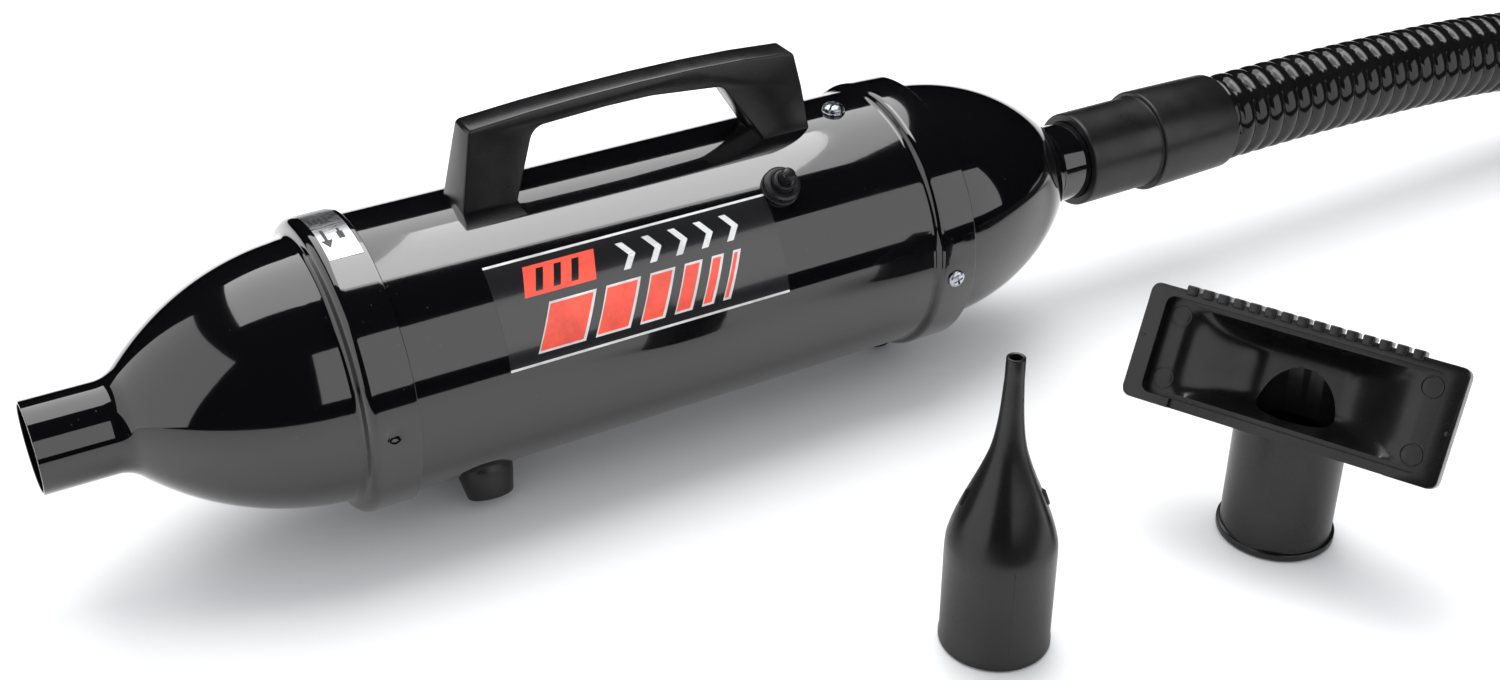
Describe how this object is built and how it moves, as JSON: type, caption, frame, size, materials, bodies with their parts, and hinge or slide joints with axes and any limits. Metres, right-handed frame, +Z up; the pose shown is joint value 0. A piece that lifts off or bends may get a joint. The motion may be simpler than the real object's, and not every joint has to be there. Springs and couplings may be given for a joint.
{
  "type": "pet dryer",
  "caption": "Hand-carried torpedo-shaped pet dryer with a top handle, twist-off nose, push-button, flexible ribbed hose and two slip-on nozzles.",
  "frame": {"origin": "floor point under the body axis, midway along the straight body tube", "axes": "+X along the body axis from the nose to the hose, +Y to the side away from the decal, +Z up"},
  "size_m": [1.0052, 0.454, 0.1605],
  "materials": {
    "painted_steel": "gloss black enamel over pressed steel sheet",
    "black_nylon": "satin moulded black plastic",
    "hose_vinyl": "glossy flexible ribbed vinyl",
    "cuff_rubber": "smooth soft black rubber",
    "foot_rubber": "matt black rubber",
    "zinc_steel": "bright zinc plate",
    "black_metal": "blackened knurled brass",
    "decal_film": "printed film, red and white abstract stripes",
    "foil_label": "silver foil label with an arrow",
    "brass": "drawn brass",
    "copper": null,
    "aluminium": "die cast or spun aluminium",
    "iron": "laminated motor iron",
    "carbon": null,
    "filter_cloth": "open filter foam"
  },
  "bodies": {
    "housing": {"body_tube": "painted_steel", "rear_cone": "painted_steel", "handle": "black_nylon", "handle_screws": "zinc_steel", "front_feet": "foot_rubber", "foot_screws": "zinc_steel", "rear_foot": "foot_rubber", "switch_body": "black_nylon", "switch_nut": "black_metal", "button_spring": "zinc_steel", "bracket_screw": "zinc_steel", "skirt_screws": "zinc_steel", "power_inlet": "black_nylon", "inlet_pins": "brass", "decal_panel": "decal_film", "guard_plate": "zinc_steel", "filter_frame": "black_nylon", "filter_pad": "filter_cloth", "fan_can": "zinc_steel", "diffuser": "aluminium", "mount_ring": "foot_rubber", "front_bracket": "aluminium", "rear_bracket": "aluminium", "rear_spider": "foot_rubber", "field_stack": "iron", "field_coils": "copper", "bearings": "zinc_steel", "brush_holders": "brass", "brushes": "carbon", "brush_springs": "zinc_steel", "hose_cuff": "cuff_rubber", "hose": "hose_vinyl", "hose_end_cuff": "cuff_rubber"},
    "nose": {"nose_cone": "painted_steel", "nose_gasket": "foot_rubber", "lock_label": "foil_label"},
    "button": {"button": "black_nylon"},
    "rotor": {"shaft": "zinc_steel", "armature_core": "iron", "armature_windings": "copper", "commutator": "copper", "impellers": "aluminium", "impeller_nut": "zinc_steel"},
    "pinpoint": {"pinpoint_nozzle": "black_nylon"},
    "utility": {"utility_nozzle": "black_nylon"}
  },
  "joints": [
    {"name": "nose_twist", "type": "hinge", "parent": "housing", "child": "nose", "pos_m": [-0.126, 0, 0.068], "axis": [1, 0, 0], "range_deg": [0, 25]},
    {"name": "button_press", "type": "slide", "parent": "housing", "child": "button", "axis": [0, 0.6018, -0.7986], "range_m": [0, 0.003], "stiffness_N_per_m": 700, "springref_m": -0.0015, "deforming": ["button_spring"]},
    {"name": "rotor_spin", "type": "hinge", "parent": "housing", "child": "rotor", "pos_m": [0, 0, 0.068], "axis": [1, 0, 0], "continuous": true},
    {"name": "pinpoint_lift", "type": "slide", "parent": "housing", "child": "pinpoint", "axis": [0, 0, 1], "range_m": [0, 0.15]},
    {"name": "utility_lift", "type": "slide", "parent": "housing", "child": "utility", "axis": [0, 0, 1], "range_m": [0, 0.15]}
  ]
}
